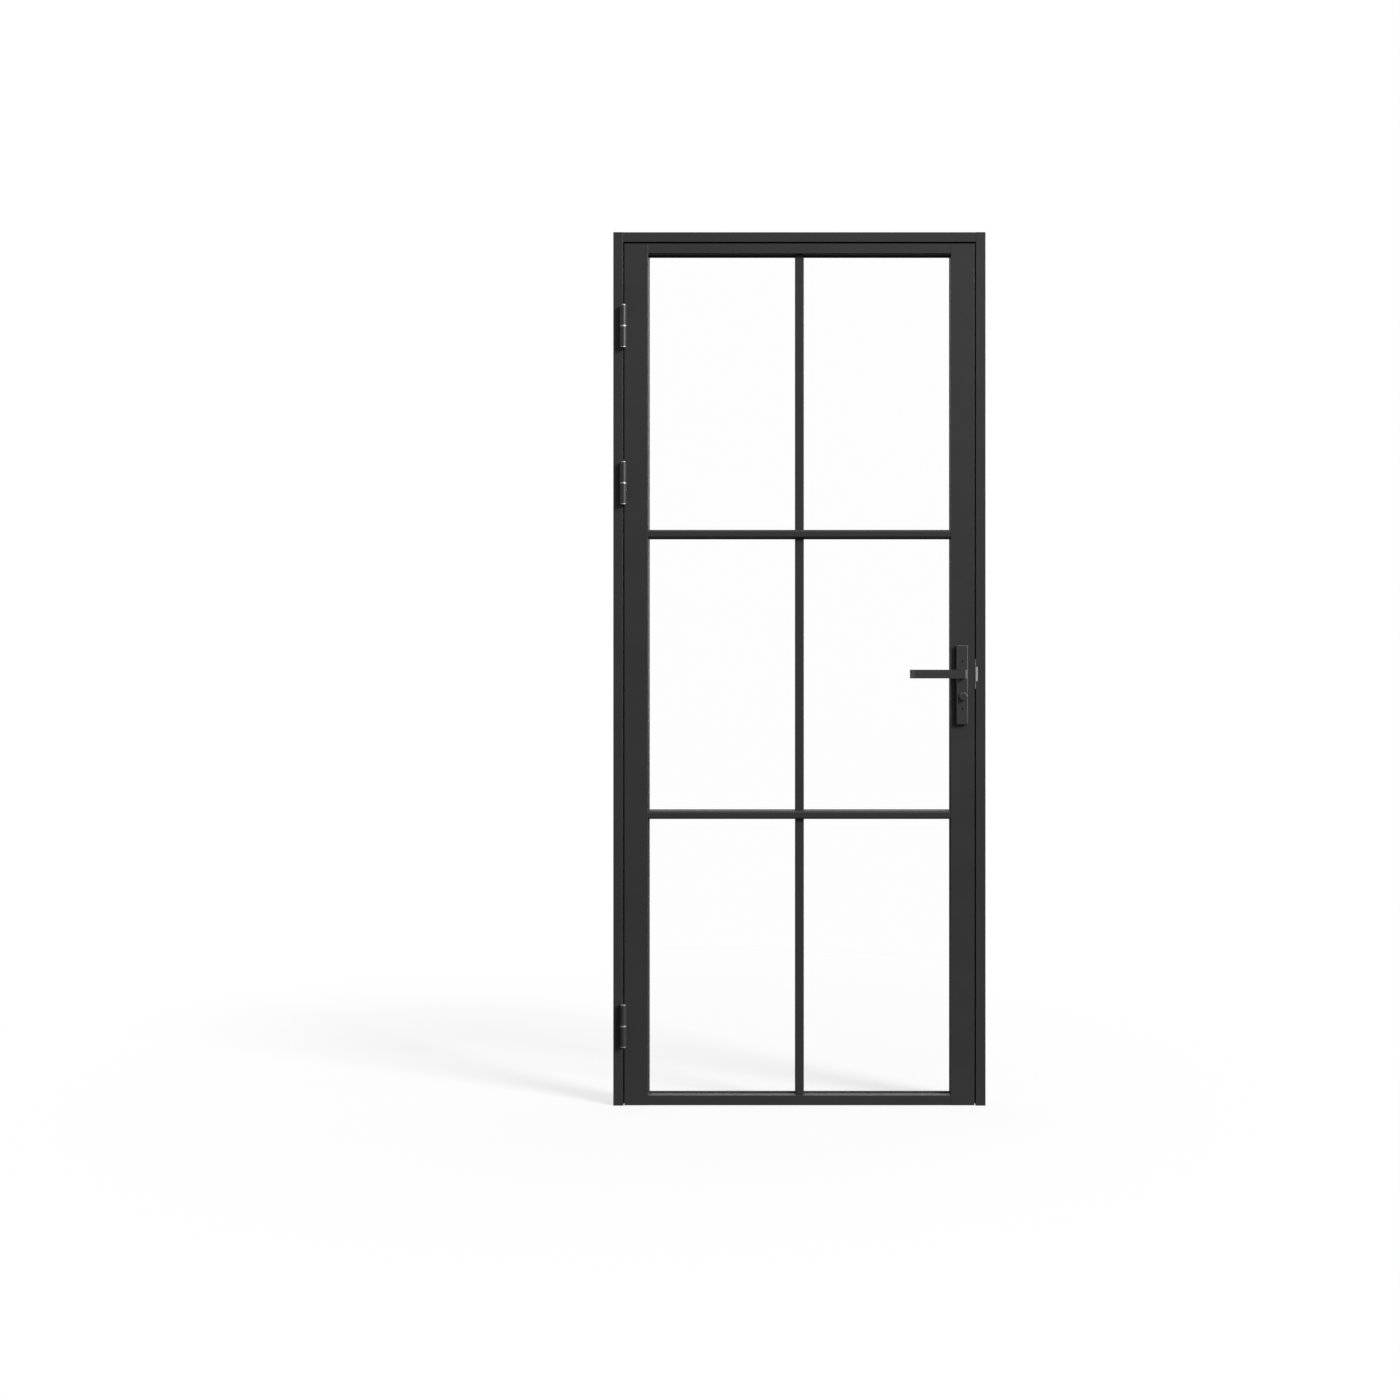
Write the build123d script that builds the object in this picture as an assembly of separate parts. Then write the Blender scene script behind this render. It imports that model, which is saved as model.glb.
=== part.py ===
from build123d import *

import math
import os

# A hinged steel door with six clear panes, standing closed in its three-sided steel frame.
# Millimetres. +X runs to the lock side, +Y away from the side with the hinge barrels, +Z up.
# The origin is on the floor, half way across the frame and half way through the leaf.

# Frame
frame_width = 910.0
frame_height = 2135.0
frame_face = 24.0
frame_wall = 2.0
edge_radius = 1.0
stop_width = 15.0
stop_depth = 16.0
stop_wall = 1.5
fixing_radius = 4.25
fixing_depth = 30.0
outer_fixing_inset = 250.0
inner_fixing_inset = 790.0

# Running gaps round the leaf
side_gap = 3.0
head_gap = 4.0
floor_gap = 1.0
seal_gap = 4.0
seal_width = 8.0
seal_inset = 2.0
seal_clearance = 0.3

# Leaf
leaf_thickness = 50.0
leaf_wall = 2.0
stile_face = 58.0
edge_relief = 1.5
edge_relief_length = 14.0
rail_face = 24.0
bar_face = 20.0
bar_rounding = 5.0
upright_recess = 12.0
web_thickness = 4.0
middle_pane_height = 667.5

# Glazing
shoulder_depth = 26.5
glass_thickness = 8.0
glass_edge_clearance = 2.0
gasket_leg = 3.0
gasket_lip = 1.0
bead_wall = 1.2
bead_setback = 2.0

# Hinges
barrel_diameter = 16.0
barrel_clearance = 0.5
barrel_chamfer = 0.8
knuckle_length = 48.0
washer_thickness = 4.0
washer_inset = 0.3
pin_diameter = 10.0
pin_running_clearance = 0.05
press_clearance = 0.02
hinge_play = 0.1
pin_collar_diameter = 14.4
pin_collar_height = 2.0
cap_diameter = 12.0
cap_height = 2.5
cap_spigot = 6.0
pad_end_inset = 2.0
top_hinge_drop = 203.0
second_hinge_drop = 383.0
bottom_hinge_rise = 195.5

# Lever handle and its plates
handle_height = 1055.0
plate_width = 27.0
plate_offset = -1.8
plate_thickness = 12.0
plate_rise = 70.0
plate_drop = 123.0
plate_corner = 2.5
plate_bevel = 1.6
plate_wall = 3.0
boss_wall = 3.0
lever_length = 131.0
rear_lever_length = 121.0
lever_overhang = 6.5
lever_height = 21.0
lever_thickness = 11.0
lever_reach = 48.0
lever_return = 30.0
lever_bend = 16.0
lever_edge = 5.0
lever_inner_bend = 5.0
hub_radius = 8.0
hub_collar = 1.0
hub_inset = 0.5
spindle_size = 8.0
spindle_depth = 20.0
square_clearance = 0.05
running_clearance = 0.05
upper_bolt_rise = 30.5
lower_bolt_drop = 84.5
bolt_radius = 2.0
bolt_head_radius = 2.7
bolt_head_height = 2.5
bolt_hole_clearance = 0.2
bolt_thread_depth = 7.0
key_size = 2.4
key_depth = 1.3

# Thumb turn
turn_drop = 55.0
turn_radius = 10.0
turn_height = 10.0
turn_bevel = 1.6
turn_neck_radius = 6.0
turn_gap = 0.3
turn_spindle_size = 5.0
turn_socket_depth = 5.0
groove_width = 1.0
groove_depth = 0.5
release_height = 3.0
release_bevel = 0.8
slot_width = 2.0
slot_depth = 1.5
slot_half_length = 7.0

# Lock
forend_thickness = 2.0
forend_width = 20.0
forend_rise = 62.0
forend_drop = 95.0
forend_screw_inset = 6.0
window_clearance = 0.25
case_thickness = 16.0
case_wall = 1.5
case_play = 1.5
case_rise = 42.0
case_drop = 75.0
latch_height = 22.0
latch_thickness = 12.0
latch_throw = 11.5
latch_nose = 2.5
latch_shoulder = 6.0
shoulder_half_height = 19.5
latch_shoulder_clearance = 0.2
bolt_height = 20.0
bolt_thickness = 10.0
bolt_throw = 14.0
bolt_set_back = 0.3
bolt_block_length = 19.7
tail_thickness = 2.5
tail_side_clearance = 1.0
tail_wall = 3.5
spring_radius = 3.0
spring_wire_radius = 0.5
spring_pitch = 5.0
spring_drop = 14.0
follower_radius = 8.5
follower_spigot_radius = 7.0
follower_arm = 15.0
follower_angle = 45.0
cam_angle = 90.0
cam_neck_radius = 4.3
cam_hub_radius = 7.0
cam_spigot_radius = 6.0
drive_pin_radius = 2.0
drive_arm_thickness = 4.0
drive_arm_half_width = 3.2
drive_arm_clearance = 0.2
latch_pin_clearance = 0.35
bolt_pin_clearance = 0.6

# Strike
strike_height = 72.0
strike_depth = 36.0
strike_thickness = 1.0
lip_height = 35.0
lip_width = 5.3
lip_radius = 0.9
notch_width = 7.7
pocket_clearance = 0.1
strike_window_margin = 1.5

# Countersunk screws of the strike and the forend, and the lugs that they go into
screw_radius = 2.0
screw_head_radius = 3.8
screw_length = 9.0
screw_inset = 5.5
thread_clearance = 0.05
recess_width = 0.8
recess_depth = 0.8
lug_thickness = 4.0
lug_inside = 10.0
lug_outside = 7.0

# How far a cut runs past the face that it opens, and the room left at the end of a blind hole
past = 1.0
end_clearance = 1.0

# Planes and edges that follow from the driving dimensions
front_y = -leaf_thickness / 2
back_y = leaf_thickness / 2
stop_y = back_y + seal_gap
frame_back_y = stop_y + stop_depth
frame_edge_x = frame_width / 2
jamb_inner_x = frame_edge_x - frame_face
head_under_z = frame_height - frame_face
leaf_edge_x = jamb_inner_x - side_gap
leaf_top_z = head_under_z - head_gap
sight_x = leaf_edge_x - stile_face
top_sight_z = leaf_top_z - rail_face
bottom_sight_z = floor_gap + rail_face
middle_z = (top_sight_z + bottom_sight_z) / 2
upper_bar_z = middle_z + (middle_pane_height + bar_face) / 2
lower_bar_z = middle_z - (middle_pane_height + bar_face) / 2

shoulder_y = front_y + shoulder_depth
glass_front_y = shoulder_y + gasket_leg
glass_back_y = glass_front_y + glass_thickness
bead_y = glass_back_y + gasket_leg
rebate = (bar_face - web_thickness) / 2

hinge_x = -(jamb_inner_x + leaf_edge_x) / 2
hinge_y = front_y - barrel_diameter / 2 - barrel_clearance
hinge_heights = (
    leaf_top_z - top_hinge_drop,
    leaf_top_z - top_hinge_drop - second_hinge_drop,
    floor_gap + bottom_hinge_rise,
)

axis_x = leaf_edge_x - stile_face / 2
axis_z = handle_height
plate_x = axis_x + plate_offset
turn_z = axis_z - turn_drop
plate_front_y = front_y - plate_thickness
lever_front_y = plate_front_y - lever_reach
bolt_heights = (axis_z + upper_bolt_rise, axis_z - lower_bolt_drop)

forend_back_x = leaf_edge_x - forend_thickness
forend_z = (axis_z - forend_drop, axis_z + forend_rise)
case_left_x = sight_x + rebate + leaf_wall + case_play
case_y = case_thickness / 2
case_inner_y = case_y - case_wall
case_z = (axis_z - case_drop, axis_z + case_rise)
tail_y = (-case_inner_y + tail_side_clearance, -case_inner_y + tail_side_clearance + tail_thickness)
arm_y = (tail_y[1] + drive_arm_clearance, tail_y[1] + drive_arm_clearance + drive_arm_thickness)
pin_end_y = -case_inner_y + tail_side_clearance / 2
strike_z = (axis_z - strike_height / 2, axis_z + strike_height / 2)
strike_x = (jamb_inner_x - strike_thickness, jamb_inner_x)
strike_y = (front_y, front_y + strike_depth)
latch_window_y = (-latch_thickness / 2 - strike_window_margin, latch_thickness / 2 + strike_window_margin)
latch_window_z = (
    axis_z - latch_height / 2 - strike_window_margin,
    axis_z + latch_height / 2 + strike_window_margin,
)


def block(x, y, z):
    """A box between two limits along each axis."""
    size = Box(x[1] - x[0], y[1] - y[0], z[1] - z[0])
    return Pos((x[0] + x[1]) / 2, (y[0] + y[1]) / 2, (z[0] + z[1]) / 2) * size


def rod_x(y, z, radius, x):
    return Pos((x[0] + x[1]) / 2, y, z) * Rot(0, 90, 0) * Cylinder(radius, x[1] - x[0])


def rod_y(x, z, radius, y):
    return Pos(x, (y[0] + y[1]) / 2, z) * Rot(90, 0, 0) * Cylinder(radius, y[1] - y[0])


def rod_z(x, y, radius, z):
    return Pos(x, y, (z[0] + z[1]) / 2) * Cylinder(radius, z[1] - z[0])


def either_side(middle, half):
    return (middle - half, middle + half)


def grown(limits, by):
    return (limits[0] - by, limits[1] + by)


def outline(*points):
    return make_face(Polyline(*points, close=True))


def shrunk(face, wall):
    return offset(face, amount=-wall, kind=Kind.INTERSECTION)


def soft_front(face):
    """The two corners of a section that face the front, eased as on a drawn tube."""
    return fillet(face.vertices().sort_by(Axis.Y)[:2], edge_radius)


def standing_tube(face, wall, z):
    """A tube that stands open below and is closed above by a welded cap."""
    solid = extrude(soft_front(face), amount=z[1] - z[0])
    core = extrude(shrunk(face, wall), amount=z[1] - z[0] - wall)
    return Pos(0, 0, z[0]) * (solid - core)


def lying_tube(face, wall, x):
    """A tube that lies along X, open at both ends; its section is drawn with Z as the first axis."""
    section = soft_front(face) - shrunk(face, wall)
    lying = Plane(origin=(x[0], 0, 0), x_dir=(0, 0, -1), z_dir=(1, 0, 0))
    return extrude(lying * section, amount=x[1] - x[0])


def group(*solids):
    return Compound(children=list(solids))


def countersunk(radius, head_radius, length):
    """A screw, or its hole, with its flat head at Z = 0 and its shank below."""
    depth = head_radius - radius
    head = Pos(0, 0, -depth / 2) * Cone(radius, head_radius, depth)
    return head + Pos(0, 0, -length / 2) * Cylinder(radius, length)


def screw():
    """A short countersunk machine screw with a cross recess."""
    recess = Box(recess_width, screw_head_radius, 2 * recess_depth)
    recess += Box(screw_head_radius, recess_width, 2 * recess_depth)
    return countersunk(screw_radius, screw_head_radius, screw_length) - recess


def screw_hole():
    return countersunk(
        screw_radius + thread_clearance, screw_head_radius + thread_clearance, screw_length + end_clearance
    )


# Frame: two jambs with a head between them


def jamb():
    """The jamb on the hinge side; the one on the lock side is its mirror image."""
    face = outline(
        (-frame_edge_x, front_y),
        (-jamb_inner_x, front_y),
        (-jamb_inner_x, frame_back_y),
        (-frame_edge_x, frame_back_y),
    )
    tube = standing_tube(face, frame_wall, (0, frame_height))
    through = (-frame_edge_x - past, -jamb_inner_x + past)
    for height in fixing_heights():
        tube -= rod_x(front_y + fixing_depth, height, fixing_radius, through)
    return tube


def fixing_heights():
    """Wall fixings, hidden behind the edge of the closed leaf."""
    return (
        outer_fixing_inset,
        inner_fixing_inset,
        frame_height - inner_fixing_inset,
        frame_height - outer_fixing_inset,
    )


def lugs(face_x, direction, z, width):
    """Two bars welded behind the ends of a window, with tapped holes for the screws of its plate."""
    x = sorted((face_x, face_x + direction * lug_thickness))
    lower = block(x, either_side(0, width / 2), (z[0] - lug_outside, z[0] + lug_inside))
    upper = block(x, either_side(0, width / 2), (z[1] - lug_inside, z[1] + lug_outside))
    return lower, upper


def strike_screw_places():
    middle_y = (strike_y[0] + strike_y[1]) / 2
    turn = Rot(0, -90, 0)
    heights = (strike_z[0] + screw_inset, strike_z[1] - screw_inset)
    return [Pos(strike_x[0], middle_y, z) * turn for z in heights]


def lock_jamb():
    """The jamb with a notch for the strike's lip, a window for the latch and a slot for the dead bolt."""
    tube = mirror(jamb(), Plane.YZ)
    middle_y = (strike_y[0] + strike_y[1]) / 2
    for lug in lugs(jamb_inner_x + frame_wall, 1, strike_z, forend_width):
        tube += Pos(0, middle_y, 0) * lug
    notch_z = either_side(axis_z, lip_height / 2 + pocket_clearance)
    notch_x = (jamb_inner_x - past, jamb_inner_x + notch_width)
    tube -= block(notch_x, (front_y - past, front_y + frame_wall), notch_z)
    into = (jamb_inner_x - past, jamb_inner_x + frame_wall)
    tube -= block(into, latch_window_y, latch_window_z)
    slot_y = either_side(0, bolt_thickness / 2 + strike_window_margin)
    tube -= block(into, slot_y, either_side(turn_z, bolt_height / 2 + strike_window_margin / 2))
    for place in strike_screw_places():
        tube -= place * screw_hole()
    return tube


def frame_head():
    face = outline(
        (-frame_height, front_y),
        (-head_under_z, front_y),
        (-head_under_z, frame_back_y),
        (-frame_height, frame_back_y),
    )
    return lying_tube(face, frame_wall, (-jamb_inner_x, jamb_inner_x))


def side_stop():
    """The stop on the hinge side, a square tube welded to the jamb behind the leaf."""
    face = outline(
        (-jamb_inner_x, stop_y),
        (-jamb_inner_x + stop_width, stop_y),
        (-jamb_inner_x + stop_width, frame_back_y),
        (-jamb_inner_x, frame_back_y),
    )
    return standing_tube(face, stop_wall, (0, head_under_z))


def head_stop():
    face = outline(
        (-head_under_z, stop_y),
        (-head_under_z + stop_width, stop_y),
        (-head_under_z + stop_width, frame_back_y),
        (-head_under_z, frame_back_y),
    )
    reach = jamb_inner_x - stop_width
    return lying_tube(face, stop_wall, (-reach, reach))


def door_seal():
    """One rubber strip up the hinge side, across the head and down the lock side."""
    y = (back_y + seal_clearance, stop_y)
    inner_x = jamb_inner_x - stop_width + seal_inset
    inner_z = head_under_z - stop_width + seal_inset
    outer = block(either_side(0, inner_x + seal_width), y, (floor_gap, inner_z + seal_width))
    return outer - block(either_side(0, inner_x), y, (floor_gap - past, inner_z))


def strike_plate():
    """A bright sheet on the inner face of the jamb, with a lip that turns out over the notch."""
    lip_x = (strike_x[0], jamb_inner_x + lip_width)
    lip = block(lip_x, (front_y - strike_thickness, front_y), either_side(axis_z, lip_height / 2))
    bend = lip.edges().filter_by(Axis.Z).group_by(Axis.X)[0].sort_by(Axis.Y)[0]
    plate = block(strike_x, strike_y, strike_z) + fillet([bend], lip_radius)
    plate -= block(grown(strike_x, past), latch_window_y, latch_window_z)
    for place in strike_screw_places():
        plate -= place * screw_hole()
    return plate


def strike_screws():
    return group(*[place * screw() for place in strike_screw_places()])


# Leaf: stiles, rails and glazing bars


def stile():
    """The stile on the hinge side: rebated for the glass, and relieved behind its edge for the swing."""
    face = outline(
        (-leaf_edge_x, front_y),
        (-sight_x, front_y),
        (-sight_x, shoulder_y),
        (-sight_x - rebate, shoulder_y),
        (-sight_x - rebate, back_y),
        (-leaf_edge_x + edge_relief, back_y),
        (-leaf_edge_x, back_y - edge_relief_length),
    )
    return standing_tube(face, leaf_wall, (floor_gap, leaf_top_z))


def forend_screw_places():
    turn = Rot(0, 90, 0)
    heights = (forend_z[0] + forend_screw_inset, forend_z[1] - forend_screw_inset)
    return [Pos(leaf_edge_x, 0, z) * turn for z in heights]


def lock_stile():
    """The stile that holds the lock, with holes for the lever, the thumb turn and the handle bolts."""
    tube = mirror(stile(), Plane.YZ)
    for lug in lugs(leaf_edge_x - leaf_wall, -1, forend_z, forend_width):
        tube += lug
    gap = pocket_clearance
    window_z = (forend_z[0] - gap, forend_z[1] + gap)
    tube -= block((forend_back_x, leaf_edge_x + past), either_side(0, forend_width / 2 + gap), window_z)
    through = (front_y - past, back_y + past)
    tube -= rod_y(axis_x, axis_z, spindle_size, through)
    tube -= rod_y(axis_x, turn_z, turn_spindle_size, through)
    for height in bolt_heights:
        tube -= rod_y(plate_x, height, bolt_radius + bolt_hole_clearance, through)
    for place in forend_screw_places():
        tube -= place * screw_hole()
    return tube


def rail(edge_z, sight_z):
    """A rail between the stiles; behind the glazing shoulder its ends reach into their rebates."""
    inward = math.copysign(rebate, edge_z - sight_z)
    face = outline(
        (-edge_z, front_y),
        (-sight_z, front_y),
        (-sight_z, shoulder_y),
        (-sight_z - inward, shoulder_y),
        (-sight_z - inward, back_y),
        (-edge_z, back_y),
    )
    reach = sight_x + rebate
    tube = lying_tube(face, leaf_wall, (-reach, reach))
    z = grown(sorted((edge_z, sight_z)), past)
    for x in ((-reach - past, -sight_x), (sight_x, reach + past)):
        tube -= block(x, (front_y - past, shoulder_y), z)
    return tube


def glazing_bar(length, face_y, rounding):
    """A T bar that stands on Z = 0: a tube in front of the glass, and a web between the panes behind."""
    half = bar_face / 2
    front = outline((-half, face_y), (half, face_y), (half, shoulder_y), (-half, shoulder_y))
    front = fillet(front.vertices().sort_by(Axis.Y)[:2], rounding)
    tube = extrude(front - shrunk(front, leaf_wall), amount=length)
    web_x = either_side(0, web_thickness / 2)
    return tube + block(web_x, (shoulder_y, back_y), (-rebate, length + rebate))


def cross_bar(height):
    """A glazing bar from stile to stile, flush with them and rounded along its front."""
    return Pos(-sight_x, 0, height) * Rot(0, 90, 0) * glazing_bar(2 * sight_x, front_y, bar_rounding)


def upright_bar(z):
    """A glazing bar between two lying bars or rails, set back from their faces."""
    return Pos(0, 0, z[0]) * glazing_bar(z[1] - z[0], front_y + upright_recess, edge_radius)


rows = {
    "top": (upper_bar_z + bar_face / 2, top_sight_z),
    "middle": (lower_bar_z + bar_face / 2, upper_bar_z - bar_face / 2),
    "bottom": (bottom_sight_z, lower_bar_z - bar_face / 2),
}
columns = {"left": (-sight_x, -bar_face / 2), "right": (bar_face / 2, sight_x)}


def pane(x, z):
    cover = rebate - glass_edge_clearance
    return block(grown(x, cover), (glass_front_y, glass_back_y), grown(z, cover))


def gasket(x, z):
    """A rubber channel round the edge of one pane, with a thin lip in front of the glass."""
    ring = block(grown(x, rebate), (shoulder_y, bead_y), grown(z, rebate))
    ring -= block(grown(x, -gasket_lip), (shoulder_y - past, bead_y + past), grown(z, -gasket_lip))
    return ring - pane(x, z)


def bead_bar(x, z):
    """One straight bead, a thin square tube, along whichever of X and Z is longer."""
    y = (bead_y, back_y)
    if x[1] - x[0] > z[1] - z[0]:
        inner = block(x, grown(y, -bead_wall), grown(z, -bead_wall))
    else:
        inner = block(grown(x, -bead_wall), grown(y, -bead_wall), z)
    return block(x, y, z) - inner


def bead_edge(sight, outward):
    """Where a bead ends: flush at a stile or rail, and set back from the edge of a glazing bar."""
    flush = sight in (-sight_x, sight_x, top_sight_z, bottom_sight_z)
    return sight if flush else sight + outward * bead_setback


def beads(x, z):
    """The four beads that hold one pane from behind."""
    wide = grown(x, rebate)
    inner_x = (bead_edge(x[0], -1), bead_edge(x[1], 1))
    inner_z = (bead_edge(z[0], -1), bead_edge(z[1], 1))
    return group(
        bead_bar(wide, (z[0] - rebate, inner_z[0])),
        bead_bar(wide, (inner_z[1], z[1] + rebate)),
        bead_bar((x[0] - rebate, inner_x[0]), inner_z),
        bead_bar((inner_x[1], x[1] + rebate), inner_z),
    )


# Hinges: lift-off barrels welded over the gap, with the pin fixed in the lower knuckle


def knuckle(z, pad_x, bore_radius):
    """A turned barrel with a weld pad that reaches the steel behind it."""
    barrel = rod_z(hinge_x, hinge_y, barrel_diameter / 2, z)
    barrel = chamfer(barrel.edges().filter_by(GeomType.CIRCLE), barrel_chamfer)
    pad = block(pad_x, (hinge_y, front_y), grown(z, -pad_end_inset))
    return barrel + pad - rod_z(hinge_x, hinge_y, bore_radius, grown(z, past))


def frame_knuckle_z(height):
    top = height - washer_thickness / 2
    return (top - knuckle_length, top)


def leaf_knuckle_z(height):
    bottom = height + washer_thickness / 2 + hinge_play
    return (bottom, bottom + knuckle_length)


def frame_knuckle(height):
    pad_x = (hinge_x - barrel_diameter / 2, -jamb_inner_x)
    return knuckle(frame_knuckle_z(height), pad_x, pin_diameter / 2 + press_clearance)


def leaf_knuckle(height):
    pad_x = (-leaf_edge_x, hinge_x + barrel_diameter / 2)
    return knuckle(leaf_knuckle_z(height), pad_x, pin_diameter / 2 + pin_running_clearance)


def hinge_pin(height):
    foot = frame_knuckle_z(height)[0]
    top = leaf_knuckle_z(height)[1] - cap_spigot - end_clearance
    collar = rod_z(hinge_x, hinge_y, pin_collar_diameter / 2, (foot - pin_collar_height, foot))
    return collar + rod_z(hinge_x, hinge_y, pin_diameter / 2, (foot - pin_collar_height, top))


def hinge_washer(height):
    z = either_side(height, washer_thickness / 2)
    disc = rod_z(hinge_x, hinge_y, barrel_diameter / 2 - washer_inset, z)
    return disc - rod_z(hinge_x, hinge_y, pin_diameter / 2 + pin_running_clearance, grown(z, past))


def hinge_cap(height):
    top = leaf_knuckle_z(height)[1]
    head = rod_z(hinge_x, hinge_y, cap_diameter / 2, (top, top + cap_height))
    spigot_radius = pin_diameter / 2 + pin_running_clearance - press_clearance
    return head + rod_z(hinge_x, hinge_y, spigot_radius, (top - cap_spigot, top + cap_height))


# Handle: two plates bolted through the stile, and two levers on one square spindle


def square_bar(z, size, y):
    return block(either_side(axis_x, size / 2), y, either_side(z, size / 2))


def handle_plate():
    """The front plate, hollow behind, with bearings for the lever and the thumb turn."""
    x = either_side(plate_x, plate_width / 2)
    y = (plate_front_y, front_y)
    z = (axis_z - plate_drop, axis_z + plate_rise)
    plate = fillet(block(x, y, z).edges().filter_by(Axis.Y), plate_corner)
    plate = chamfer(plate.faces().sort_by(Axis.Y)[0].edges(), plate_bevel)
    hollow = block(grown(x, -plate_wall), (y[0] + plate_wall, y[1] + past), grown(z, -plate_wall))
    boss_y = grown(y, 2 * past)
    hollow -= rod_y(axis_x, axis_z, hub_radius + boss_wall, boss_y)
    hollow -= rod_y(axis_x, turn_z, turn_neck_radius + boss_wall, boss_y)
    for height in bolt_heights:
        hollow -= rod_y(plate_x, height, bolt_head_radius + boss_wall, boss_y)
    plate -= hollow
    plate -= rod_y(axis_x, axis_z, hub_radius + running_clearance, grown(y, past))
    return plate - rod_y(axis_x, turn_z, turn_neck_radius + running_clearance, grown(y, past))


def front_plate():
    plate = handle_plate()
    seat_y = (plate_front_y - past, plate_front_y + bolt_head_height)
    through = (plate_front_y, front_y + past)
    for height in bolt_heights:
        plate -= rod_y(plate_x, height, bolt_head_radius + press_clearance, seat_y)
        plate -= rod_y(plate_x, height, bolt_radius + bolt_hole_clearance, through)
    return plate


def rear_plate():
    """The plate on the other face; its bosses are tapped for the handle bolts."""
    plate = mirror(handle_plate(), Plane.XZ)
    thread_y = (back_y - past, back_y + bolt_thread_depth)
    for height in bolt_heights:
        plate -= rod_y(plate_x, height, bolt_radius + press_clearance, thread_y)
    return plate


def handle_bolt(height):
    """A long screw with a small round head and a hexagon socket."""
    head_y = (plate_front_y, plate_front_y + bolt_head_height)
    bolt = rod_y(plate_x, height, bolt_head_radius, head_y)
    end_y = back_y + bolt_thread_depth - end_clearance
    bolt += rod_y(plate_x, height, bolt_radius, (plate_front_y, end_y))
    head = Plane(origin=(plate_x, plate_front_y, height), z_dir=(0, 1, 0))
    return bolt - extrude(head * RegularPolygon(key_size / 2, 6), amount=key_depth)


def lever(length):
    """A flat bar bent square: a neck out of the plate, the grip, and a return towards the door."""
    tip_x = axis_x - length
    neck = (axis_x - lever_overhang, axis_x + lever_overhang)
    base_y = plate_front_y - hub_collar
    face = outline(
        (neck[1], base_y),
        (neck[1], lever_front_y),
        (tip_x, lever_front_y),
        (tip_x, lever_front_y + lever_return),
        (tip_x + lever_thickness, lever_front_y + lever_return),
        (tip_x + lever_thickness, lever_front_y + lever_thickness),
        (neck[0], lever_front_y + lever_thickness),
        (neck[0], base_y),
    )
    bar = extrude(face, amount=lever_height / 2, both=True)
    corners = bar.edges().filter_by(Axis.Z)
    inner_y = lever_front_y + lever_thickness
    outer_bend = corners.sort_by_distance((tip_x, lever_front_y, 0))[0]
    inner_bend = corners.sort_by_distance((tip_x + lever_thickness, inner_y, 0))[0]
    inner_neck = corners.sort_by_distance((neck[0], inner_y, 0))[0]
    outer_neck = corners.sort_by_distance((neck[1], lever_front_y, 0))[0]
    bar = fillet([outer_bend], lever_bend)
    bar = fillet(nearest_corners(bar, inner_bend, inner_neck), lever_inner_bend)
    bar = chamfer(nearest_corners(bar, outer_neck), lever_edge)
    bar = Pos(0, 0, axis_z) * bar
    bar += rod_y(axis_x, axis_z, hub_radius, (base_y, front_y - hub_inset))
    socket_y = (plate_front_y - spindle_depth, front_y)
    return bar - square_bar(axis_z, spindle_size + 2 * square_clearance, socket_y)


def nearest_corners(bar, *edges):
    """The upright edges of a changed bar that stand where the given edges stood."""
    upright = bar.edges().filter_by(Axis.Z)
    return [upright.sort_by_distance(edge.center())[0] for edge in edges]


def spindle():
    reach = leaf_thickness / 2 + plate_thickness + spindle_depth - end_clearance
    return square_bar(axis_z, spindle_size, (-reach, reach))


def thumb_turn():
    """A round knob with a bevelled rim and a groove, turned in one piece with its square spindle."""
    y = (plate_front_y - turn_gap - turn_height, plate_front_y - turn_gap)
    knob = rod_y(axis_x, turn_z, turn_radius, y)
    rim = knob.edges().filter_by(GeomType.CIRCLE).sort_by(Axis.Y)[0]
    knob = chamfer([rim], turn_bevel)
    groove_z = (turn_z, turn_z + turn_radius + past)
    knob -= block(either_side(axis_x, groove_width / 2), (y[0] - past, y[0] + groove_depth), groove_z)
    knob += rod_y(axis_x, turn_z, turn_neck_radius, (y[1] - past, front_y - turn_gap))
    return knob + square_bar(turn_z, turn_spindle_size, (front_y - past, back_y + turn_socket_depth))


def release_disc():
    """The disc at the rear, with a slot for a coin, on the end of the thumb turn's spindle."""
    face_y = back_y + plate_thickness + turn_gap
    y = (face_y, face_y + release_height)
    disc = rod_y(axis_x, turn_z, turn_radius, y)
    rim = disc.edges().filter_by(GeomType.CIRCLE).sort_by(Axis.Y)[-1]
    disc = chamfer([rim], release_bevel)
    slot_y = (y[1] - slot_depth, y[1] + past)
    disc -= block(either_side(axis_x, slot_width / 2), slot_y, either_side(turn_z, slot_half_length))
    disc += rod_y(axis_x, turn_z, turn_neck_radius, (back_y + turn_gap, y[1] - slot_depth))
    socket_y = (back_y, back_y + turn_socket_depth + end_clearance)
    return disc - square_bar(turn_z, turn_spindle_size + 2 * square_clearance, socket_y)


# Lock: a steel case in the stile, with a latch worked by the lever and a bolt worked by the turn


def case_holes(y):
    """What passes through the flat sides of the case."""
    cut = rod_y(axis_x, axis_z, follower_spigot_radius + running_clearance, y)
    cut += rod_y(axis_x, turn_z, cam_spigot_radius + running_clearance, y)
    for height in bolt_heights:
        if case_z[0] < height < case_z[1]:
            cut += rod_y(plate_x, height, bolt_radius + bolt_hole_clearance, y)
    return cut


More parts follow.
